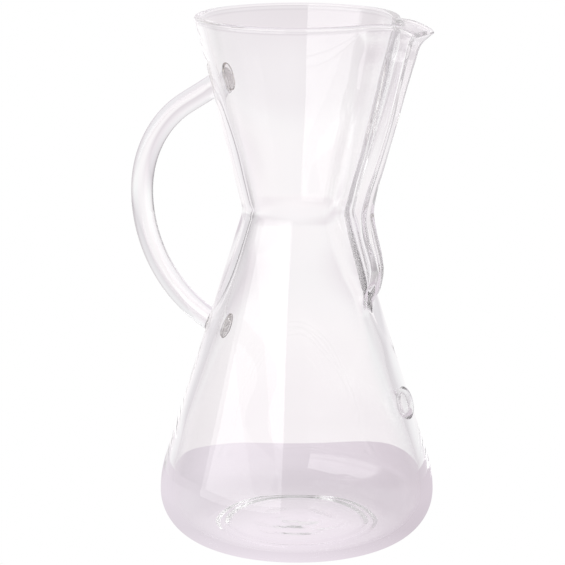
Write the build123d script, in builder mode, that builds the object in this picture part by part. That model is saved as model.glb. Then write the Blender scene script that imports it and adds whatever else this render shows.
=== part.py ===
from build123d import *

import os
from math import acos, atan2, cos, degrees, hypot, radians, sin, tan

# One-pint hourglass pour-over coffee carafe in borosilicate glass.
#
# A blown vessel has a filter cone above a narrow waist and a flask below it.
# A hollow rib runs down its front, from the pouring lip, over the waist, to the flask's shoulder.
# It lets air out of the flask past a filter, and it is the pouring groove.
# A bent glass rod is the handle, held at the back by a pad of fused glass at each end.
# A round glass button fused to the front of the flask marks half full.
#
# Millimetres. +Z is up, and the origin is the centre of the base ring, on the surface it stands on.
# The pouring lip points to +X and the handle to -X.

# --- vessel, outside ---
HEIGHT = 210.0
RIM_R = 40.1
WAIST_R = 21.4
WAIST_Z = 132.7
WAIST_BEND = 9.0  # radius of the bend between the cone and the flask
BELLY_R = 55.0
HEEL_BEND = 18.4  # radius from the belly down to the ring, so also the belly's height
SHOULDER_BEND = 42.2  # radius from the flask's flank down to the belly
RING_WIDTH = 3.4  # flat ring that the carafe stands on
PUNT_RISE = 2.2  # how far the base is pushed up inside the ring
PUNT_R = 26.0  # where the punt reaches that height

# --- glass thickness, measured sideways ---
RIM_WALL = 2.8
WAIST_WALL = 4.6
BELLY_WALL = 4.6
FLOOR = 2.2
HEEL_FLOOR = 3.8  # glass under the flask's lowest inside ring
WAIST_BEND_IN = 5.0
RIM_ROUND = 1.1

# --- rib and pouring lip, outside: x is its front, seen from the side ---
RIB_HALF = 4.6  # half its width
RIB_END = (34.6, 98.0)
RIB_KNEE = (37.6, 112.6)
RIB_KNEE_BEND = 9.0
RIB_WAIST = (31.6, 134.0)
RIB_WAIST_BEND = 12.0
RIB_CORNER = 2.2
RIB_WALL = 2.2
RIB_CORNER_IN = 1.2
RIB_BACK_X = 10.0  # the rib's flat back, well inside the vessel
LIP_ROOT = (50.2, 196.0)  # where the rib turns out to the lip
LIP_ROOT_BEND = 40.0
LIP_X = 54.2
LIP_Z = 206.2
LIP_HALF = 8.0
LIP_FLARE_BEND = 20.0
LIP_FALL = 0.6  # slope of the lip's upper edge at its tip
LIP_DIP_X = 44.5  # where the lip's upper edge starts to fall

# --- handle: a rod of two bends that meet at its furthest point back ---
ROD_R = 4.5
HANDLE_X = -71.5
HANDLE_Z = 133.5
UPPER_BEND = 45.0
UPPER_TURN = 58.5
UPPER_RUN = 22.0  # the straight end of the rod, from the upper bend into the cone's glass
LOWER_BEND = 55.0
LOWER_TURN = 71.0
UPPER_PAD_Z = 182.6
LOWER_PAD_Z = 83.0
PAD_R = 6.2
PAD_DEPTH = 2.4

# --- level button ---
BUTTON_Z = 57.8
BUTTON_R = 6.6
BUTTON_RISE = 3.4
BUTTON_TURN = 8.0  # round from the lip, away from the +X line

DISC_ROUND = 0.75  # how much of a disc's rise its rounded edge takes
OVERSHOOT = 6.0  # how far a cutting or joining shape runs past the glass it works on


def tangent_point(near, centre, radius):
    """Where a line from a point above and outside an arc touches that arc."""
    dx, dz = near[0] - centre[0], near[1] - centre[1]
    turn = atan2(dz, dx) - acos(radius / hypot(dx, dz))
    return centre[0] + radius * cos(turn), centre[1] + radius * sin(turn)


belly_centre = (BELLY_R - SHOULDER_BEND, HEEL_BEND)
cone_lean = atan2(RIM_R - WAIST_R, HEIGHT - WAIST_Z)
shoulder = tangent_point((WAIST_R, WAIST_Z), belly_centre, SHOULDER_BEND)
flank_lean = atan2(shoulder[0] - WAIST_R, WAIST_Z - shoulder[1])


def side_line(top_r, rim_r, waist_r, belly_r, waist_bend):
    """The turned vessel's line down to its belly, for the outside or the inside.

    It starts at top_r on the level top of the rim, and turns down at rim_r.
    """
    bend = SHOULDER_BEND - BELLY_R + belly_r
    foot = tangent_point((waist_r, WAIST_Z), belly_centre, bend)
    turn = degrees(atan2(foot[1] - belly_centre[1], foot[0] - belly_centre[0]))
    with BuildLine() as side:
        FilletPolyline(
            (top_r, HEIGHT), (rim_r, HEIGHT), (waist_r, WAIST_Z), foot, radius=[RIM_ROUND, waist_bend]
        )
        CenterArc(belly_centre, bend, turn, -turn)
    return side.line


def past(near, far, z):
    """The point at height z on the line from near through far."""
    return far[0] + (far[0] - near[0]) * (z - far[1]) / (far[1] - near[1]), z


def rib(inset, corner):
    """The rib as a filled solid, drawn inwards by an inset: its side view crossed with its front view."""
    top = HEIGHT + OVERSHOOT
    half = RIB_HALF - inset
    end = past(RIB_KNEE, RIB_END, RIB_END[1] + inset)
    with BuildPart() as bar:
        with BuildSketch(Plane.XZ):
            with BuildLine(Location((-inset, 0))):
                front = FilletPolyline(
                    past(LIP_ROOT, (LIP_X, LIP_Z), top),
                    LIP_ROOT,
                    RIB_WAIST,
                    RIB_KNEE,
                    end,
                    radius=[LIP_ROOT_BEND, RIB_WAIST_BEND, RIB_KNEE_BEND],
                )
                Polyline(front @ 1, (RIB_BACK_X, end[1]), (RIB_BACK_X, top), front @ 0)
            make_face()
        extrude(amount=LIP_HALF + OVERSHOOT, both=True)
        with BuildSketch(Plane.YZ):
            with BuildLine():
                flare = FilletPolyline(
                    (LIP_HALF - inset, top),
                    (LIP_HALF - inset, LIP_Z),
                    (half, LIP_ROOT[1]),
                    (half, end[1]),
                    radius=[LIP_FLARE_BEND / 2, LIP_FLARE_BEND],
                )
                Polyline(flare @ 1, (0, end[1]), (0, top), flare @ 0)
            make_face()
            mirror(about=Plane.YZ)
        extrude(amount=LIP_X + OVERSHOOT, mode=Mode.INTERSECT)
        front_edges = bar.edges().filter_by(lambda edge: (edge @ 0.5).X > RIB_BACK_X + OVERSHOOT)
        fillet(front_edges.filter_by(lambda edge: abs((edge @ 0).Z - (edge @ 1).Z) > 1), radius=corner)
    return bar.part


# --- the outside as a filled solid: the rib, cut along the lip's upper edge, and the turned body ---
rib_outside = rib(0, RIB_CORNER)
side_outside = side_line(0, RIM_R, WAIST_R, BELLY_R, WAIST_BEND)
with BuildPart() as skin:
    add(rib_outside)
    with BuildSketch(Plane.XZ):
        with BuildLine():
            dip = Spline((LIP_DIP_X, HEIGHT), (LIP_X, LIP_Z), tangents=[(1, 0), (1, -LIP_FALL)])
            Polyline(
                dip @ 1,
                (LIP_X + OVERSHOOT, LIP_Z - LIP_FALL * OVERSHOOT),
                (LIP_X + OVERSHOOT, HEIGHT + OVERSHOOT),
                (0, HEIGHT + OVERSHOOT),
                (0, HEIGHT),
                dip @ 0,
            )
        make_face()
    extrude(amount=RIM_R, both=True, mode=Mode.SUBTRACT)
    with BuildSketch(Plane.XZ):
        with BuildLine():
            add(side_outside)
            heel = CenterArc((BELLY_R - HEEL_BEND, HEEL_BEND), HEEL_BEND, 0, -90)
            ring = Line(heel @ 1, (BELLY_R - HEEL_BEND - RING_WIDTH, 0))
            punt = Spline(ring @ 1, (PUNT_R, PUNT_RISE), tangents=[(-1, 0), (-1, 0)])
            Polyline(punt @ 1, (0, PUNT_RISE), (0, HEIGHT))
        make_face()
    revolve(axis=Axis.Z)

# --- the hollow inside as a solid ---
rim_in = RIM_R - RIM_WALL
mouth_r = rim_in + RIM_ROUND
belly_in = BELLY_R - BELLY_WALL
heel_in = HEEL_BEND - HEEL_FLOOR
rib_inside = rib(RIB_WALL, RIB_CORNER_IN)
side_inside = side_line(mouth_r, rim_in, WAIST_R - WAIST_WALL, belly_in, WAIST_BEND_IN)
with BuildPart() as cavity:
    with BuildSketch(Plane.XZ):
        with BuildLine():
            add(side_inside)
            heel = CenterArc((belly_in - heel_in, HEEL_BEND), heel_in, 0, -90)
            floor = Spline(heel @ 1, (PUNT_R, PUNT_RISE + FLOOR), tangents=[(-1, 0), (-1, 0)])
            Polyline(
                floor @ 1,
                (0, PUNT_RISE + FLOOR),
                (0, HEIGHT + OVERSHOOT),
                (mouth_r, HEIGHT + OVERSHOOT),
                (mouth_r, HEIGHT),
            )
        make_face()
    revolve(axis=Axis.Z)
    add(rib_inside)

with BuildPart() as vessel:
    add(skin.part)
    add(cavity.part, mode=Mode.SUBTRACT)

# --- what is fused to the turned body's outside, each on a plane square to the glass there ---
cone_r = WAIST_R + (UPPER_PAD_Z - WAIST_Z) * tan(cone_lean)
flank_r = WAIST_R + (WAIST_Z - LOWER_PAD_Z) * tan(flank_lean)
button_base_r = WAIST_R + (WAIST_Z - BUTTON_Z) * tan(flank_lean)
upper_seat = Plane((-cone_r, 0, UPPER_PAD_Z), z_dir=(-cos(cone_lean), 0, -sin(cone_lean)))
lower_seat = Plane((-flank_r, 0, LOWER_PAD_Z), z_dir=(-cos(flank_lean), 0, sin(flank_lean)))
button_seat = Plane((button_base_r, 0, BUTTON_Z), z_dir=(cos(flank_lean), 0, sin(flank_lean)))
button_seat = Plane(Rot(0, 0, BUTTON_TURN) * Location(button_seat))


def disc(seat, radius, rise):
    """A round disc with a rounded outer edge that stands on the seat, and is rooted as deep behind it."""
    with BuildPart() as blank:
        with BuildSketch(seat.offset(-rise)):
            Circle(radius)
        extrude(amount=2 * rise)
        outer_face = blank.faces().sort_by(Axis(seat.origin, seat.z_dir))[-1]
        fillet(outer_face.edges(), radius=DISC_ROUND * rise)
    return blank.part


upper_disc = disc(upper_seat, PAD_R, PAD_DEPTH)
lower_disc = disc(lower_seat, PAD_R, PAD_DEPTH)
button_disc = disc(button_seat, BUTTON_R, BUTTON_RISE)

with BuildPart() as upper_weld:
    add(upper_disc)
    add(skin.part, mode=Mode.SUBTRACT)

with BuildPart() as lower_weld:
    add(lower_disc)
    add(skin.part, mode=Mode.SUBTRACT)

with BuildPart() as level_button:
    add(button_disc)
    add(skin.part, mode=Mode.SUBTRACT)

# --- handle rod, between the two pads ---
turn = radians(UPPER_TURN)
upper_bend_end = (HANDLE_X + UPPER_BEND * (1 - cos(turn)), HANDLE_Z + UPPER_BEND * sin(turn))
with BuildPart() as handle:
    with BuildLine(Plane.XZ) as path:
        CenterArc((HANDLE_X + LOWER_BEND, HANDLE_Z), LOWER_BEND, 180, LOWER_TURN)
        CenterArc((HANDLE_X + UPPER_BEND, HANDLE_Z), UPPER_BEND, 180, -UPPER_TURN)
        PolarLine(upper_bend_end, UPPER_RUN, 90 - UPPER_TURN)
    rod_line = path.wire()
    with BuildSketch(Plane(origin=rod_line @ 0, z_dir=rod_line % 0)):
        Circle(ROD_R)
    sweep(path=rod_line)
    add(skin.part, mode=Mode.SUBTRACT)
    add(upper_weld.part, mode=Mode.SUBTRACT)
    add(lower_weld.part, mode=Mode.SUBTRACT)

os.makedirs("parts", exist_ok=True)
vessel.part.label = "vessel"
export_step(vessel.part, "parts/vessel.step")
handle.part.label = "handle"
export_step(handle.part, "parts/handle.step")
upper_weld.part.label = "upper_weld"
export_step(upper_weld.part, "parts/upper_weld.step")
lower_weld.part.label = "lower_weld"
export_step(lower_weld.part, "parts/lower_weld.step")
level_button.part.label = "level_button"
export_step(level_button.part, "parts/level_button.step")
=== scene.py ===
"""Looks of the hourglass pour-over carafe: blown vessel, rod handle, fused pads and level button.

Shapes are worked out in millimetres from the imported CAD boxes, and turned into metres in make_mesh.
+X is the pouring lip, -X the handle. Every surface of the vessel is a grid of rings of points,
from the middle of the base up the outside, over the rim and down the inside.
"""

from math import cos, degrees, pi, radians, sin

import bmesh
import bpy
import numpy as np
from mathutils import Matrix, Vector


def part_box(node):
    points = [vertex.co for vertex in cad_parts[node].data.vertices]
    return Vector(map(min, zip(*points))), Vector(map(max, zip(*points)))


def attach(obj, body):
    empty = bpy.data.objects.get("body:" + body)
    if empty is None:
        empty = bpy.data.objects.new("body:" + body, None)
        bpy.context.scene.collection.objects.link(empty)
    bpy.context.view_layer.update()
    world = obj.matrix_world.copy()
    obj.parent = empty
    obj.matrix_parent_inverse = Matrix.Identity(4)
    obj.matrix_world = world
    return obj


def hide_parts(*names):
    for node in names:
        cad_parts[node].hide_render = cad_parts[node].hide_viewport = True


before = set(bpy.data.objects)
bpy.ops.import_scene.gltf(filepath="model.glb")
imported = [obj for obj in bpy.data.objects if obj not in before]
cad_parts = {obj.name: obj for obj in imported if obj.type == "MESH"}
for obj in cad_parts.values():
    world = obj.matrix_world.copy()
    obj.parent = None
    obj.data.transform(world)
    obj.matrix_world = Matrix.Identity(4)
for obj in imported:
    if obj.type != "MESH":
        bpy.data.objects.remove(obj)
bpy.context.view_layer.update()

MM = 0.001
vessel_high = np.array(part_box("vessel")[1]) / MM
handle_low, handle_high = (np.array(corner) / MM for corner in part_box("handle"))

# --- the vessel's outside, turned ---
HEIGHT = vessel_high[2]
BELLY_R = vessel_high[1]
RIM_R = 40.1
WAIST_R = 21.4
WAIST_Z = 132.7
WAIST_BEND = 9.0
HEEL_BEND = 18.4
SHOULDER_BEND = 42.2
RING_WIDTH = 3.4  # the flat ring that the vessel stands on
PUNT_RISE = 2.2  # how far the base inside that ring is pushed up
JOIN_Z = 30.0  # where the rings of the base meet the rings of the wall

# --- glass thickness ---
WALL_HEIGHTS = (0, 20, 50, 100, 117, 133, 150, 170, 195, 210)
WALLS = (4.8, 4.8, 4.5, 4.6, 5.2, 4.9, 4.5, 3.6, 3.1, 2.8)
HEEL_FLOOR = 3.8
BEAD = 1.15  # how much thicker the fire-polished rim is than the wall below it
BEAD_DEPTH = 2.4
RIM_ROUND = 1.2  # height of the rim's rounded top

# --- small faults of hand-blown glass ---
SWELL_START = 20.0  # the inside and outside swells fade in over this height above the base's rings
SWELL_END = 25.0  # and fade out over this height below the rim
SWIRL_RANGE = (2.0, 24.0)  # radii between which the base has swirls
SWIRL_START = 6.0  # the swirls fade in over this length from the inner radius
SWIRL_END = 8.0  # and fade out over this length before the outer one
SWIRL_OUTSIDE = 0.11  # height of the swirls under the base
SWIRL_INSIDE = 0.05

# --- rib and lip, outside ---
RIB_END_Z = 94.5
RIB_END_LENGTH = 10.0
GROOVE_END_Z = 92.0
GROOVE_END_LENGTH = 15.0
CROWDING_LENGTH = 45.0  # height over which the points of the rings gather towards the rib's foot
LEAST_DEPTH = 6.0  # where the rib is shallower than this, its rounded section is flattened as a whole
LIP_START_Z = 186.0
LIP_DIP_X = 44.0
LIP_TIP_X = 54.2
LIP_DROP = 3.2
LIP_HALF = 8.6

# --- how finely each part of a vessel ring is drawn, from the back round to the middle of the front ---
ARC_STEPS = 84
ROOT_STEPS = 18
SIDE_STEPS = 8
CORNER_STEPS = 8
FRONT_STEPS = 6
RING_POINTS = 2 * (ARC_STEPS + ROOT_STEPS + SIDE_STEPS + CORNER_STEPS + FRONT_STEPS)
BLOB_POINTS = 72  # points in a ring of a pad or of the button
ROD_POINTS = 56  # points in a ring of the handle


def ease(t):
    """Smooth step from 0 to 1."""
    t = np.clip(t, 0, 1)
    return t * t * (3 - 2 * t)


def smooth_line(z, heights, values):
    """A value that runs smoothly between values stated at some heights."""
    heights, values = np.asarray(heights, float), np.asarray(values, float)
    slopes = np.gradient(values, heights)
    i = int(np.clip(np.searchsorted(heights, z) - 1, 0, len(heights) - 2))
    step = heights[i + 1] - heights[i]
    t = float(np.clip((z - heights[i]) / step, 0, 1))
    return (
        (2 * t**3 - 3 * t**2 + 1) * values[i]
        + (t**3 - 2 * t**2 + t) * step * slopes[i]
        + (3 * t**2 - 2 * t**3) * values[i + 1]
        + (t**3 - t**2) * step * slopes[i + 1]
    )


def arc(centre, radius, start, end, steps):
    """Points (radius, height) on an arc in the side view, from start to end degrees, ends included."""
    turns = np.radians(np.linspace(start, end, steps + 1))
    return [(centre[0] + radius * cos(t), centre[1] + radius * sin(t)) for t in turns]


def tangent_angle(point, centre, radius):
    """Angle on an arc at which a line from an outside point above it touches it."""
    dx, dz = point[0] - centre[0], point[1] - centre[1]
    return degrees(np.arctan2(dz, dx) - np.arccos(radius / np.hypot(dx, dz)))


shoulder_centre = (BELLY_R - SHOULDER_BEND, HEEL_BEND)
shoulder_turn = tangent_angle((WAIST_R, WAIST_Z), shoulder_centre, SHOULDER_BEND)
shoulder = arc(shoulder_centre, SHOULDER_BEND, shoulder_turn, 0, 1)[0]
cone_slope = (RIM_R - WAIST_R) / (HEIGHT - WAIST_Z)
flank_slope = (shoulder[0] - WAIST_R) / (WAIST_Z - shoulder[1])


def outer_r(z):
    """Radius of the turned outside above the belly, with the waist rounded."""
    bend_half = WAIST_BEND * (cone_slope + flank_slope) / 2
    up = z - WAIST_Z
    if up > bend_half:
        return WAIST_R + cone_slope * up
    if up < -bend_half:
        if z >= shoulder[1]:
            return WAIST_R - flank_slope * up
        return shoulder_centre[0] + np.sqrt(max(SHOULDER_BEND**2 - (z - HEEL_BEND) ** 2, 0))
    t = (up + bend_half) / (2 * bend_half)
    return WAIST_R + flank_slope * bend_half * (1 - t) ** 2 + cone_slope * bend_half * t**2


def inner_r(z):
    """Radius of the turned inside above the belly."""
    return outer_r(z) - smooth_line(z, WALL_HEIGHTS, WALLS)


def rib_front(z):
    """How far out the rib's front stands."""
    heights = (90, 104, 112, 118, 126, 134, 142, 152, 172, 194, 201, 205.5, 212)
    fronts = (33.4, 35.8, 37.1, 36.0, 33.6, 32.3, 33.7, 36.8, 42.9, 49.1, 51.7, 54.6, 57.8)
    return smooth_line(z, heights, fronts)


def rib_half(z):
    """Half the rib's width. It opens out to the pouring lip."""
    heights = (95, 112, 126, 142, 172, 194, 200, 204.5, 208)
    return smooth_line(z, heights, (3.8, 4.2, 5.1, 4.5, 4.0, 4.9, 5.1, 0.95 * LIP_HALF, LIP_HALF))


def rib_root(z):
    """Radius of the soft corner where the rib's side leaves the wall, outside."""
    heights = (97, 104, 112, 118, 124, 133, 140, 160, 180, 195, 203, 210)
    return smooth_line(z, heights, (4.0, 5.0, 6.8, 7.6, 8.0, 6.0, 4.8, 6.6, 8.9, 12.2, 13.7, 14.2))


def rib_corner(z):
    """Radius of the rib's front corners, outside."""
    return smooth_line(z, (97, 112, 130, 150, 190, 203, 207), (2.4, 2.2, 2.0, 2.0, 1.6, 0.9, 0.6))


def rib_wall(z):
    """Thickness of the glass round the rib's groove."""
    return smooth_line(z, (96, 112, 126, 136, 150, 210), (2.8, 3.2, 3.2, 2.4, 1.7, 1.5))


def section(r, depth, half, root, corner, share):
    """Half of a ring as (x, y) points, from the back to the middle of the rib's front.

    The ring is a circle with a rounded bar standing out of it by depth. The bar sinks softly into the
    circle as its share goes from one to nothing.
    """
    shrink = min(1.0, 0.97 * depth / (root + corner))
    root, corner = root * shrink, corner * shrink
    root_x = np.sqrt((r + root) ** 2 - (half + root) ** 2)
    root_turn = np.arctan2(half + root, root_x)
    front = r + depth
    turns = np.linspace(pi, root_turn, ARC_STEPS + 1)
    points = [(r * cos(t), r * sin(t)) for t in turns]
    fillet = np.linspace(pi + root_turn, 1.5 * pi, ROOT_STEPS + 1)[1:]
    points += [(root_x + root * cos(t), half + root + root * sin(t)) for t in fillet]
    side_end = front - corner
    points += [(x, half) for x in np.linspace(root_x, side_end, SIDE_STEPS + 1)[1:]]
    turns = np.linspace(pi / 2, 0, CORNER_STEPS + 1)[1:]
    points += [(side_end + corner * cos(t), half - corner + corner * sin(t)) for t in turns]
    points += [(front, y) for y in np.linspace(half - corner, 0, FRONT_STEPS + 1)[1:]]
    points = np.array(points)
    bar = slice(ARC_STEPS, None)
    turns = np.linspace(root_turn, 0, len(points[bar]))
    circle = r * np.column_stack([np.cos(turns), np.sin(turns)])
    points[bar] = share * points[bar] + (1 - share) * circle
    return points


def whole_ring(half_ring, z):
    """Both halves of a ring at a height, as (x, y, z) points with no doubled point."""
    mirrored = half_ring[-2:0:-1] * (1, -1)
    ring = np.vstack([half_ring, mirrored])
    return np.column_stack([ring, np.full(len(ring), z)])


def tip_drop(z):
    """How far the tip of the lip hangs below the rest of a ring."""
    return LIP_DROP * float(ease((z - LIP_START_Z) / (HEIGHT - LIP_START_Z)))


def lower_lip(ring, z):
    """Lowers the part of a ring that runs out to the lip."""
    ring[:, 2] -= tip_drop(z) * 2 * ease((ring[:, 0] - LIP_DIP_X) / (2 * (LIP_TIP_X - LIP_DIP_X)))
    return ring


def rib_foot(inside):
    """Where the rib ends at its foot, and the height over which it sinks into the wall."""
    return (GROOVE_END_Z, GROOVE_END_LENGTH) if inside else (RIB_END_Z, RIB_END_LENGTH)


def foot_share(z, inside):
    """Share of the rib left near its foot, where it sinks softly into the wall."""
    end, length = rib_foot(inside)
    return float(ease((z - end) / length))


def unevenness(z, inside):
    """Small swells of hand-blown glass at each point of a ring, in millimetres."""
    turns = np.linspace(0, 2 * pi, RING_POINTS, endpoint=False)
    if inside:
        lobes = 0.10 * np.sin(3 * turns + z / 21) + 0.07 * np.sin(5 * turns - z / 13 + 1.7)
        return lobes + 0.05 * np.sin(z / 6.1)
    return 0.02 * np.sin(2 * turns + z / 34 + 0.6) + 0.01 * np.sin(z / 8.3 + 2.1)


def vessel_ring(z, inside):
    """A ring of the vessel at a height above the belly."""
    r = inner_r(z) if inside else outer_r(z)
    tip_z = z - tip_drop(z)
    inset = rib_wall(tip_z) if inside else 0
    depth = rib_front(tip_z) - inset - r
    half = rib_half(tip_z) - inset
    root = rib_root(tip_z) + inset
    corner = max(rib_corner(tip_z) - inset, 0.5) if inside else rib_corner(tip_z)
    share = foot_share(z, inside) * float(np.clip(depth / LEAST_DEPTH, 0, 1))
    depth = max(depth, LEAST_DEPTH)
    return lower_lip(whole_ring(section(r, depth, half, root, corner, share), z), z)


def spread(ring, other, t):
    """A ring with its points moved round, by a share t of the way, to where another ring has them."""
    own_turns, other_turns = (np.arctan2(each[:, 1], each[:, 0]) % (2 * pi) for each in (ring, other))
    turn = own_turns * (1 - t) + other_turns * t
    r = np.hypot(ring[:, 0], ring[:, 1])
    return np.column_stack([r * np.cos(turn), r * np.sin(turn), ring[:, 2]])


def even_ring(r, z):
    """A circle with evenly spaced points."""
    turns = pi - np.arange(RING_POINTS) * 2 * pi / RING_POINTS
    return np.column_stack([r * np.cos(turns), r * np.sin(turns), np.full(RING_POINTS, z)])


def heights_between(low, high, step):
    """Evenly spaced heights, about a step apart, both ends included."""
    return np.linspace(low, high, max(int(round((high - low) / step)), 1) + 1)


def side_heights(inside):
    """Heights of the rings from the shoulder to the rim, closer at the rib's foot and the waist."""
    end, length = rib_foot(inside)
    foot = [end + length * (1 - cos(t)) for t in np.linspace(0, pi / 2, 19)]
    return np.concatenate(
        [
            heights_between(JOIN_Z, 60, 1.0)[:-1],
            heights_between(60, end - 3, 1.5)[:-1],
            heights_between(end - 3, end, 0.5)[:-1],
            foot[:-1],
            heights_between(foot[-1], 124, 1.0)[:-1],
            heights_between(124, 142, 0.75)[:-1],
            heights_between(142, 192, 1.25)[:-1],
            heights_between(192, HEIGHT - BEAD_DEPTH, 0.6),
        ]
    )


def side_rings(inside):
    """Rings of the vessel's wall, from the shoulder up to where the rim's bead starts."""
    rings = []
    for z in side_heights(inside):
        ring = vessel_ring(z, inside)
        ring = spread(ring, even_ring(1, z), float(ease((RIB_END_Z - z) / CROWDING_LENGTH)))
        fade = float(ease((z - JOIN_Z) / SWELL_START) * ease((HEIGHT - BEAD_DEPTH - z) / SWELL_END))
        swell = unevenness(z, inside) * fade
        ring[:, :2] *= 1 + (swell / np.hypot(ring[:, 0], ring[:, 1]))[:, None]
        rings.append(ring)
    return rings


def rim_rings():
    """Rings of the rim's bead, from the outside wall over the top and down to the inside wall."""
    outside, inside = [], []
    for z in heights_between(HEIGHT - BEAD_DEPTH, HEIGHT - RIM_ROUND, 0.2)[1:]:
        out, inn = vessel_ring(z, False), vessel_ring(z, True)
        middle, across = (out + inn) / 2, (out - inn) / 2
        swell = 1 + (BEAD - 1) * float(ease((z - HEIGHT + BEAD_DEPTH) / (BEAD_DEPTH - RIM_ROUND)))
        outside.append(middle + across * swell)
        inside.append(middle - across * swell)
    middle, across = (outside[-1] + inside[-1]) / 2, (outside[-1] - inside[-1]) / 2
    up = np.array([0, 0, RIM_ROUND])
    top = [middle + across * cos(t) + up * sin(t) for t in np.linspace(0, pi, 15)[1:-1]]
    return outside + top + inside[::-1]


def rippled(r, z, size):
    """A circle of the base with small swirls round its middle, where the glass was last gathered."""
    ring = even_ring(r, z)
    turns = np.arctan2(ring[:, 1], ring[:, 0])
    fade = float(ease((r - SWIRL_RANGE[0]) / SWIRL_START) * ease((SWIRL_RANGE[1] - r) / SWIRL_END))
    swirls = np.sin(3 * turns + r / 2.1) + 0.6 * np.sin(5 * turns - r / 1.7 + 1.1)
    ring[:, 2] += size * fade * swirls
    return ring


def base_outside():
    """Rings of the base and heel, from the middle of the punt out and up to the shoulder."""
    ring_r = BELLY_R - HEEL_BEND
    inner_edge = ring_r - RING_WIDTH
    reaches = (0, 6, 12, 17, 20, 24, 27.4, 29.2, 31.6, inner_edge)
    rises = (1.6, 1.9, PUNT_RISE, 2.1, PUNT_RISE, PUNT_RISE, 2.0, 1.3, 1.1, 0.0)
    punt_r = np.linspace(0.4, inner_edge, 110)
    rings = [rippled(r, smooth_line(r, reaches, rises), SWIRL_OUTSIDE) for r in punt_r]
    rings += [even_ring(r, 0.0) for r in np.linspace(inner_edge + 0.5, ring_r, 6)]
    heel = arc((ring_r, HEEL_BEND), HEEL_BEND, -90, 0, 30)[1:]
    top_turn = degrees(np.arcsin((JOIN_Z - HEEL_BEND) / SHOULDER_BEND))
    heel += arc(shoulder_centre, SHOULDER_BEND, 0, top_turn, 8)[1:-1]
    return rings + [even_ring(r, z) for r, z in heel]


def base_inside():
    """Rings of the inside, from the shoulder down, over the heel and in to the middle of the floor."""
    belly_in = BELLY_R - WALLS[0]
    heel_in = HEEL_BEND - HEEL_FLOOR
    centre = (belly_in - heel_in, HEEL_BEND)
    profile = [(inner_r(z), z) for z in np.linspace(JOIN_Z, HEEL_BEND, 9)[1:]]
    offset = profile[-1][0] - belly_in
    profile += [(r + offset, z) for r, z in arc(centre, heel_in, 0, -90, 26)[1:]]
    rings = [even_ring(r, z) for r, z in profile]
    edge_r, edge_z = profile[-1]
    reaches = (0, 5, 9, 12.5, 18, 26, 30, edge_r)
    rises = (4.6, 4.65, 4.4, 4.5, 4.3, 4.2, 4.05, edge_z)
    floor_r = np.linspace(edge_r, 0.4, 60)[1:]
    rings += [rippled(r, smooth_line(r, reaches, rises), SWIRL_INSIDE) for r in floor_r]
    return rings


def make_mesh(name, rings):
    """A smooth closed mesh from rings of points in millimetres, each joined to the next."""
    count = len(rings[0])
    points = np.vstack(rings) * MM
    faces = []
    for i in range(len(rings) - 1):
        a, b = i * count, (i + 1) * count
        for j in range(count):
            k = (j + 1) % count
            faces.append((a + j, b + j, b + k, a + k))
    last = (len(rings) - 1) * count
    faces.append(tuple(range(count)))
    faces.append(tuple(range(last + count - 1, last - 1, -1)))
    mesh = bpy.data.meshes.new(name)
    mesh.from_pydata([tuple(p) for p in points], [], faces)
    mesh.polygons.foreach_set("use_smooth", [True] * len(mesh.polygons))
    mesh.validate()
    mesh.update()
    piece = bpy.data.objects.new(name, mesh)
    bpy.context.scene.collection.objects.link(piece)
    return piece


def face_outwards(piece):
    """Turns a closed mesh's faces outwards."""
    work = bmesh.new()
    work.from_mesh(piece.data)
    bmesh.ops.recalc_face_normals(work, faces=work.faces)
    work.to_mesh(piece.data)
    work.free()


GLASS_IOR = 1.473  # borosilicate
RIPPLE_SCALE = 240  # swells of a few millimetres
RIPPLE_HEIGHT = 0.0005


def glass(name, tint=(1, 1, 1), density=0.0, ripple=0.0):
    """Clear glass. Tint and density colour it by its depth, and ripple roughens it softly."""
    material = bpy.data.materials.new(name)
    material.use_nodes = True
    nodes, links = material.node_tree.nodes, material.node_tree.links
    shader = nodes["Principled BSDF"]
    shader.inputs["Base Color"].default_value = (1, 1, 1, 1)
    shader.inputs["Roughness"].default_value = 0
    shader.inputs["IOR"].default_value = GLASS_IOR
    shader.inputs["Transmission Weight"].default_value = 1
    if ripple:
        coordinates = nodes.new("ShaderNodeTexCoord")
        noise = nodes.new("ShaderNodeTexNoise")
        noise.inputs["Scale"].default_value = RIPPLE_SCALE
        noise.inputs["Detail"].default_value = 2
        bump = nodes.new("ShaderNodeBump")
        bump.inputs["Strength"].default_value = ripple
        bump.inputs["Distance"].default_value = RIPPLE_HEIGHT
        links.new(coordinates.outputs["Object"], noise.inputs["Vector"])
        links.new(noise.outputs["Fac"], bump.inputs["Height"])
        links.new(bump.outputs["Normal"], shader.inputs["Normal"])
    if density:
        volume = nodes.new("ShaderNodeVolumeAbsorption")
        volume.inputs["Color"].default_value = (*tint, 1)
        volume.inputs["Density"].default_value = density
        links.new(volume.outputs["Volume"], nodes["Material Output"].inputs["Volume"])
    return material


def dress(piece, material, slot, *nodes):
    """Gives a piece its material, lets it ride on the one body and stand for its CAD nodes."""
    piece.data.materials.append(material)
    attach(piece, "root")
    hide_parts(*nodes)


# --- vessel ---
vessel_rings = base_outside() + side_rings(False) + rim_rings() + side_rings(True)[::-1] + base_inside()
vessel = make_mesh("blown_vessel", vessel_rings)
face_outwards(vessel)

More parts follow.
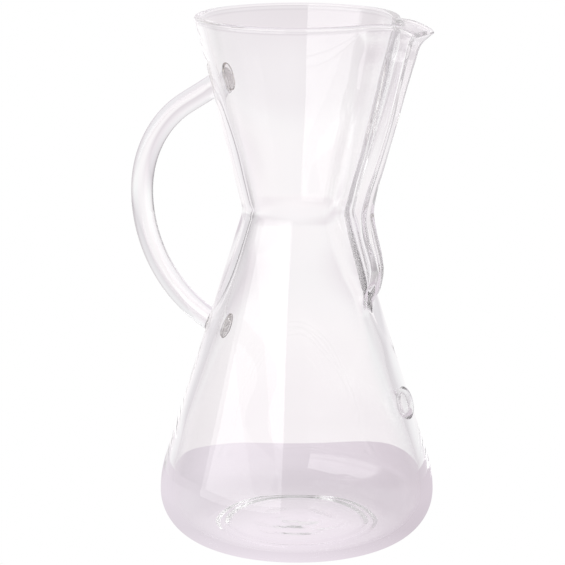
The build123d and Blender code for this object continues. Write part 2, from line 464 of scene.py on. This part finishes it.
# --- handle, its two pads and the level button ---
ROD_R = (handle_high[1] - handle_low[1]) / 2
BACK_X = handle_low[0] + ROD_R
BACK_Z = 133.5
UPPER_BEND = 45.0
UPPER_TURN = 58.5
LOWER_BEND = 55.0
LOWER_TURN = 66.0
UPPER_PAD_Z = 182.6
LOWER_PAD_Z = 83.0
PAD_R = 5.6
PAD_NARROWING = 0.8  # a pad's width round the wall, as a share of its height
PAD_DEPTH = 2.4
END_SWELL = 1.1  # how much wider the rod is at its fused ends
SWELL_LENGTH = 5.0
SUNK = 0.12  # how far the pieces of one mass of glass reach into each other
BUTTON_Z = 57.8
BUTTON_R = 6.6
BUTTON_RISE = 3.4
BUTTON_TOP = 1.8  # thickness of the glass over the button's hollow
BUTTON_TURN = radians(8)  # round from the lip, away from the camera


def slope_at(z):
    """Unit vectors of the turned wall in its side view: up along it and straight out of it."""
    lean = outer_r(z + 0.5) - outer_r(z - 0.5)
    size = np.hypot(lean, 1)
    return np.array((lean, 1)) / size, np.array((1, -lean)) / size


FLAT_SEAT = [(share, -SUNK) for share in np.linspace(0.04, 1, 9)]


def seat_rings(z, radius, turn, profile, seat=FLAT_SEAT, wobble=0.0, width=1.0):
    """Rings of a blob of glass on the wall: its seat from the middle out, then its outside back in.

    seat and profile list the underside and the outside as (share of the radius, height over the wall).
    wobble is how uneven the blob's outline is, as a share of its radius, and width is how wide it is
    round the wall, as a share of its height along it.
    """
    up, out = slope_at(z)
    turns = np.arange(BLOB_POINTS) * 2 * pi / BLOB_POINTS
    lobes = np.sin(2 * turns + 0.7) + 0.6 * np.sin(3 * turns + 2.2) + 0.4 * np.sin(5 * turns)
    rings = []
    for share, height in seat + profile:
        ragged = 1 + wobble * share * lobes
        across = width * radius * share * ragged * np.sin(turns)
        along = radius * share * ragged * np.cos(turns)
        ring = []
        for a, b in zip(across, along):
            level = z + b * up[1]
            r = outer_r(level)
            angle = turn + a / r
            stand = r + height * out[0]
            ring.append((stand * cos(angle), stand * sin(angle), level + height * out[1]))
        rings.append(np.array(ring))
    return rings


def pad_profile(depth):
    """Squashed blob: a rolled edge, then a flat top for the rod."""
    turns = np.linspace(-1.3, 1.35, 12)
    roll = [(0.86 + 0.16 * cos(t), -SUNK + depth * (0.42 + 0.42 * sin(t))) for t in turns]
    return roll + [(0.8, depth * 0.93), (0.72, depth), (0.5, depth), (0.25, depth), (0.04, depth)]


def dome_profile(rise):
    """Rounded disc with a full edge."""
    return [(cos(t), rise * sin(t) ** 0.5) for t in np.linspace(0.06, 1.53, 20)]


def blister_seat(rise):
    """The button's hollow underside, from its middle out to the narrow foot that sits on the wall."""
    hollow = [(0.72 * cos(t), rise * sin(t)) for t in np.linspace(1.52, 0.0, 18)]
    return hollow + [(0.8, -SUNK), (0.9, -SUNK)]


def pad_facing(pad_z):
    """The way a pad faces, as a unit vector in the side view."""
    out = slope_at(pad_z)[1]
    return np.array((-out[0], out[1]))


def pad_plane(pad_z):
    """Distance of a pad's flat top from the origin, along the way the pad faces."""
    normal = pad_facing(pad_z)
    return float(-outer_r(pad_z) * normal[0] + pad_z * normal[1]) + PAD_DEPTH - SUNK


def ring_round(point, along, radius):
    """Ring of points round a place on the rod."""
    turns = np.arange(ROD_POINTS) * 2 * pi / ROD_POINTS
    side = radius * np.array((-along[1], along[0]))
    x = point[0] + side[0] * np.cos(turns)
    z = point[1] + side[1] * np.cos(turns)
    return np.column_stack([x, radius * np.sin(turns), z])


def run_to_pad(ring, centre, way, pad_z, steps):
    """Rings that carry a rod straight on to the flat top of its pad."""
    normal = pad_facing(pad_z)
    sides = ring[:, 0] * normal[0] + ring[:, 2] * normal[1]
    reach = (pad_plane(pad_z) - sides) / float(way @ normal)
    middle_reach = (pad_plane(pad_z) - float(centre @ normal)) / float(way @ normal)
    rings = []
    for share in np.linspace(0, 1, steps + 1)[1:]:
        moved = ring.copy()
        moved[:, 0] += way[0] * reach * share
        moved[:, 2] += way[1] * reach * share
        core_x, core_z = centre + way * middle_reach * share
        core = np.array((core_x, 0, core_z))
        left = middle_reach * (1 - share)
        swell = 1 + (END_SWELL - 1) * float(ease(1 - left / SWELL_LENGTH))
        outward = moved - core
        along = outward[:, 0] * way[0] + outward[:, 2] * way[1]
        radial = outward - np.column_stack([along * way[0], np.zeros(len(along)), along * way[1]])
        grown = core + radial * swell
        sides = grown[:, 0] * normal[0] + grown[:, 2] * normal[1]
        wanted = moved[:, 0] * normal[0] + moved[:, 2] * normal[1]
        slide = (wanted - sides) / float(way @ normal)
        grown[:, 0] += way[0] * slide
        grown[:, 2] += way[1] * slide
        rings.append(grown)
    return rings


def rod_rings():
    """Rings of the handle from its lower pad to its upper one. Its ends are flat and a little swollen."""
    low_centre, high_centre = (BACK_X + LOWER_BEND, BACK_Z), (BACK_X + UPPER_BEND, BACK_Z)
    lower = arc(low_centre, LOWER_BEND, 180 + LOWER_TURN, 180, 60)
    upper = arc(high_centre, UPPER_BEND, 180, 180 - UPPER_TURN, 50)
    low_way = np.array((sin(radians(LOWER_TURN)), -cos(radians(LOWER_TURN))))
    high_way = np.array((sin(radians(UPPER_TURN)), cos(radians(UPPER_TURN))))
    middle = np.array(lower + upper[1:])
    rings = []
    for i, point in enumerate(middle):
        near, far = middle[max(i - 1, 0)], middle[min(i + 1, len(middle) - 1)]
        along = (far - near) / np.hypot(*(far - near))
        rings.append(ring_round(point, along, ROD_R))
    first, last = ring_round(middle[0], -low_way, ROD_R), ring_round(middle[-1], high_way, ROD_R)
    low_end = run_to_pad(first, middle[0], low_way, LOWER_PAD_Z, 8)
    high_end = run_to_pad(last, middle[-1], high_way, UPPER_PAD_Z, 24)
    return low_end[::-1] + [first] + rings[1:-1] + [last] + high_end


handle = make_mesh("rod_handle", rod_rings())
pad_shape = {"profile": pad_profile(PAD_DEPTH), "wobble": 0.03, "width": PAD_NARROWING}
upper_pad = make_mesh("upper_pad", seat_rings(UPPER_PAD_Z, PAD_R, pi, **pad_shape))
lower_pad = make_mesh("lower_pad", seat_rings(LOWER_PAD_Z, PAD_R, pi, **pad_shape))
button_seat = blister_seat(BUTTON_RISE - BUTTON_TOP)
button_dome = dome_profile(BUTTON_RISE)
button_rings = seat_rings(BUTTON_Z, BUTTON_R, BUTTON_TURN, button_dome, button_seat, wobble=0.02)
button = make_mesh("level_button_dome", button_rings)
for piece in (handle, upper_pad, lower_pad, button):
    face_outwards(piece)

# the brown tint is painted shade: it darkens the pads to stand in for the dark that bent and reflected
# light shows at their edges
weld_glass = glass("weld_glass", tint=(0.45, 0.33, 0.2), density=40.0, ripple=0.5)
dress(vessel, glass("blown_glass"), "vessel_glass", "vessel")
dress(handle, glass("rod_glass"), "handle_glass", "handle")
dress(upper_pad, weld_glass, "weld_glass", "upper_weld")
dress(lower_pad, weld_glass, "weld_glass", "lower_weld")
dress(button, glass("button_glass"), "button_glass", "level_button")

# --- camera at the photograph's angle: beside the handle-to-lip line and a little above the rim ---
CAMERA_TURN = radians(28)
CAMERA_PITCH = radians(13.28)
CAMERA_YAW = radians(0.332)
CAMERA_DISTANCE = 0.98684  # from the carafe's axis, measured level
CAMERA_HEIGHT = 0.33624
camera_data = bpy.data.cameras.new("camera")
camera_data.sensor_width = 36
camera_data.lens = 162.6
camera = bpy.data.objects.new("camera", camera_data)
camera.location = (CAMERA_DISTANCE * sin(CAMERA_TURN), -CAMERA_DISTANCE * cos(CAMERA_TURN), CAMERA_HEIGHT)
camera.rotation_euler = (pi / 2 - CAMERA_PITCH, 0, CAMERA_TURN + CAMERA_YAW)
bpy.context.scene.collection.objects.link(camera)
bpy.context.scene.camera = camera

# --- table and surroundings: white where the camera sees them, pale tones in the glass; the table top glows with painted light ---
TABLE_BEHIND = 0.126  # the table top ends this far behind the carafe's axis
TABLE_SIDE = 1.5
TABLE_FRONT = 1.5
TABLE_GAP = 0.0001  # just under the carafe, so that the two surfaces don't coincide
TABLE_STRENGTH = 1.25
# the lightest part of the table top is the middle of a painted pool of light
PAINTED_POOL_NEARER = 0.012  # how much nearer than the carafe the lightest part of the table top lies
WORLD_STRENGTH = 1.19


def grey(value):
    """A neutral colour."""
    return (value, value, value)


def by_degrees(*stops):
    """Stops of a ramp over an angle, with the angles stated in degrees."""
    return [(radians(angle), colour) for angle, colour in stops]


# tones of the table top from left to right, by metres: its pale lavender with painted window light,
# lighter to the left and darker far to the sides; and the painted pool of light round the carafe's foot
TABLE_TINT_AND_PAINTED_LIGHT = [
    (-0.7, (0.5, 0.48, 0.5)),
    (-0.25, (0.66, 0.61, 0.66)),
    (-0.05, (0.78, 0.72, 0.78)),
    (0.05, (0.68, 0.61, 0.67)),
    (0.25, (0.56, 0.51, 0.55)),
    (0.7, (0.45, 0.43, 0.45)),
]
# painted pool of light round the carafe's foot, lightest in its middle, with a darker ring round it
TABLE_PAINTED_LIGHT_POOL = [
    (0.0, grey(1.0)),
    (0.02, grey(0.98)),
    (0.036, grey(0.84)),
    (0.05, grey(0.76)),
    (0.1, grey(0.84)),
]

# tones of the surroundings from below the horizon to overhead
WORLD_UPWARD = by_degrees(
    (-30, (0.85, 0.81, 0.84)),
    (-17, (0.88, 0.84, 0.86)),
    (-14, (0.93, 0.90, 0.91)),
    (-11.5, (0.91, 0.89, 0.90)),
    (-8, (0.785, 0.74, 0.77)),
    (-6.5, (0.71, 0.67, 0.70)),
    (-4, (0.74, 0.70, 0.73)),
    (12, (0.84, 0.81, 0.83)),
    (35, (0.80, 0.78, 0.79)),
    (60, grey(0.5)),
    (90, grey(0.35)),
)

# tones of the surroundings round the carafe, from straight behind it, positive to the camera's right
WORLD_SIDEWAYS = by_degrees(
    (-180, grey(0.6)),
    (-105, grey(0.5)),
    (-80, grey(0.22)),
    (-68, grey(0.18)),
    (-58, grey(0.42)),
    (-46, grey(0.82)),
    (-30, (0.91, 0.94, 0.93)),
    (-15, grey(0.97)),
    (-8, grey(0.9)),
    (9, grey(0.9)),
    (16, (0.89, 0.92, 0.91)),
    (30, (0.89, 0.92, 0.91)),
    (46, grey(0.78)),
    (58, grey(0.58)),
    (70, grey(0.5)),
    (85, grey(0.52)),
    (110, grey(0.65)),
    (180, grey(0.6)),
)


def node_of(tree, kind, **settings):
    """A new node. Settings named in_ and a number are values of its inputs, the others its attributes."""
    node = tree.nodes.new(kind)
    for name, value in settings.items():
        if name.startswith("in_"):
            node.inputs[int(name[3:])].default_value = value
        else:
            setattr(node, name, value)
    return node


def join(tree, *sockets):
    """Links pairs of sockets."""
    for start, end in zip(sockets[::2], sockets[1::2]):
        tree.links.new(start, end)


def ramp_of(tree, source, stops):
    """A colour that follows a value. Stops are (value, colour), lowest first."""
    low, high = stops[0][0], stops[-1][0]
    spread_out = node_of(tree, "ShaderNodeMapRange", in_1=low, in_2=high)
    ramp = tree.nodes.new("ShaderNodeValToRGB")
    stop_list = ramp.color_ramp.elements
    while len(stop_list) < len(stops):
        stop_list.new(0.5)
    for stop, (value, colour) in zip(stop_list, stops):
        stop.position = (value - low) / (high - low)
        stop.color = (*colour, 1)
    join(tree, source, spread_out.inputs[0], spread_out.outputs[0], ramp.inputs[0])
    return ramp.outputs[0]


def multiplied(tree, first, second):
    """Product of two colours."""
    product = node_of(tree, "ShaderNodeMix", data_type="RGBA", blend_type="MULTIPLY", clamp_result=False)
    product.inputs[0].default_value = 1
    join(tree, first, product.inputs[6], second, product.inputs[7])
    return product.outputs[2]


def white_to_camera(tree, kind, output, colour, strength):
    """Shows plain white to the camera, and a colour to light that comes through or off the glass."""
    direct, around = tree.nodes.new(kind), tree.nodes.new(kind)
    path, mix = tree.nodes.new("ShaderNodeLightPath"), tree.nodes.new("ShaderNodeMixShader")
    direct.inputs[0].default_value = (1, 1, 1, 1)
    around.inputs[1].default_value = strength
    join(tree, colour, around.inputs[0], path.outputs["Is Camera Ray"], mix.inputs[0])
    join(tree, around.outputs[0], mix.inputs[1], direct.outputs[0], mix.inputs[2])
    join(tree, mix.outputs[0], output.inputs["Surface"])


def table_material():
    """Pale lavender table top glowing with painted light: painted window light makes it lighter to the
    left, a painted pool of light lies under the glass, and it is darker far to the sides.
    """
    material = bpy.data.materials.new("table_top")
    material.use_nodes = True
    tree = material.node_tree
    tree.nodes.clear()
    place = tree.nodes.new("ShaderNodeTexCoord")
    parts = tree.nodes.new("ShaderNodeSeparateXYZ")
    nearer = node_of(tree, "ShaderNodeVectorMath", operation="ADD", in_1=(0, PAINTED_POOL_NEARER, 0))
    length = node_of(tree, "ShaderNodeVectorMath", operation="LENGTH")
    join(tree, place.outputs["Object"], parts.inputs[0], place.outputs["Object"], nearer.inputs[0])
    join(tree, nearer.outputs[0], length.inputs[0])
    # painted light: the left-to-right ramp adds painted window light to the lavender tint, and the round
    # ramp is a painted pool of light round the carafe's foot
    across = ramp_of(tree, parts.outputs[0], TABLE_TINT_AND_PAINTED_LIGHT)
    painted_pool = ramp_of(tree, length.outputs["Value"], TABLE_PAINTED_LIGHT_POOL)
    output = tree.nodes.new("ShaderNodeOutputMaterial")
    tone = multiplied(tree, across, painted_pool)
    white_to_camera(tree, "ShaderNodeEmission", output, tone, TABLE_STRENGTH)
    return material


table_mesh = bpy.data.meshes.new("table_top")
near_corners = [(x, -TABLE_FRONT, -TABLE_GAP) for x in (-TABLE_SIDE, TABLE_SIDE)]
far_corners = [(x, TABLE_BEHIND, -TABLE_GAP) for x in (TABLE_SIDE, -TABLE_SIDE)]
table_mesh.from_pydata(near_corners + far_corners, [], [(0, 1, 2, 3)])
table = bpy.data.objects.new("table_top", table_mesh)
table.rotation_euler = (0, 0, CAMERA_TURN)
table.data.materials.append(table_material())
bpy.context.scene.collection.objects.link(table)


def studio_world():
    """A bright backdrop behind the carafe, a dark gap to its left, dimmer sides and a dim ceiling."""
    world = bpy.data.worlds.new("studio")
    world.use_nodes = True
    tree = world.node_tree
    tree.nodes.clear()
    place = tree.nodes.new("ShaderNodeTexCoord")
    turned = node_of(tree, "ShaderNodeVectorRotate", rotation_type="Z_AXIS")
    turned.inputs["Angle"].default_value = -CAMERA_TURN
    parts = tree.nodes.new("ShaderNodeSeparateXYZ")
    rise = node_of(tree, "ShaderNodeMath", operation="ARCSINE")
    turn = node_of(tree, "ShaderNodeMath", operation="ARCTAN2")
    join(tree, place.outputs["Generated"], turned.inputs["Vector"], turned.outputs[0], parts.inputs[0])
    join(tree, parts.outputs[2], rise.inputs[0])
    join(tree, parts.outputs[0], turn.inputs[0], parts.outputs[1], turn.inputs[1])
    upward = ramp_of(tree, rise.outputs[0], WORLD_UPWARD)
    sideways = ramp_of(tree, turn.outputs[0], WORLD_SIDEWAYS)
    output = tree.nodes.new("ShaderNodeOutputWorld")
    tone = multiplied(tree, upward, sideways)
    white_to_camera(tree, "ShaderNodeBackground", output, tone, WORLD_STRENGTH)
    return world


WINDOW_TURN = radians(-130)  # from straight behind the carafe, positive to the camera's right
WINDOW_DISTANCE = 1.4
WINDOW_WIDTH = 2.1


def window_pane(name, low, high, radiance):
    """Part of a tall soft window that faces the carafe, between two heights."""
    data = bpy.data.lights.new(name, "AREA")
    data.shape = "RECTANGLE"
    data.size, data.size_y = WINDOW_WIDTH, high - low
    data.energy = radiance * pi * WINDOW_WIDTH * (high - low)
    light = bpy.data.objects.new(name, data)
    bearing = Matrix.Rotation(CAMERA_TURN, 3, "Z") @ Vector((sin(WINDOW_TURN), cos(WINDOW_TURN), 0))
    light.location = bearing * WINDOW_DISTANCE + Vector((0, 0, (low + high) / 2))
    light.rotation_euler = (-bearing).to_track_quat("-Z", "Y").to_euler()
    light.visible_camera = False
    bpy.context.scene.collection.objects.link(light)


window_pane("window_sill", 0.0, 0.40, 1.6)
window_pane("window_bar", 0.40, 0.52, 0.75)
window_pane("window_sky", 0.52, 2.2, 1.7)

GLASS_BOUNCES = 96  # light runs far along inside thick glass, and goes black where it is cut short
scene = bpy.context.scene
scene.world = studio_world()
scene.view_settings.view_transform = "Standard"
scene.cycles.max_bounces = GLASS_BOUNCES
scene.cycles.glossy_bounces = GLASS_BOUNCES
scene.cycles.transmission_bounces = GLASS_BOUNCES
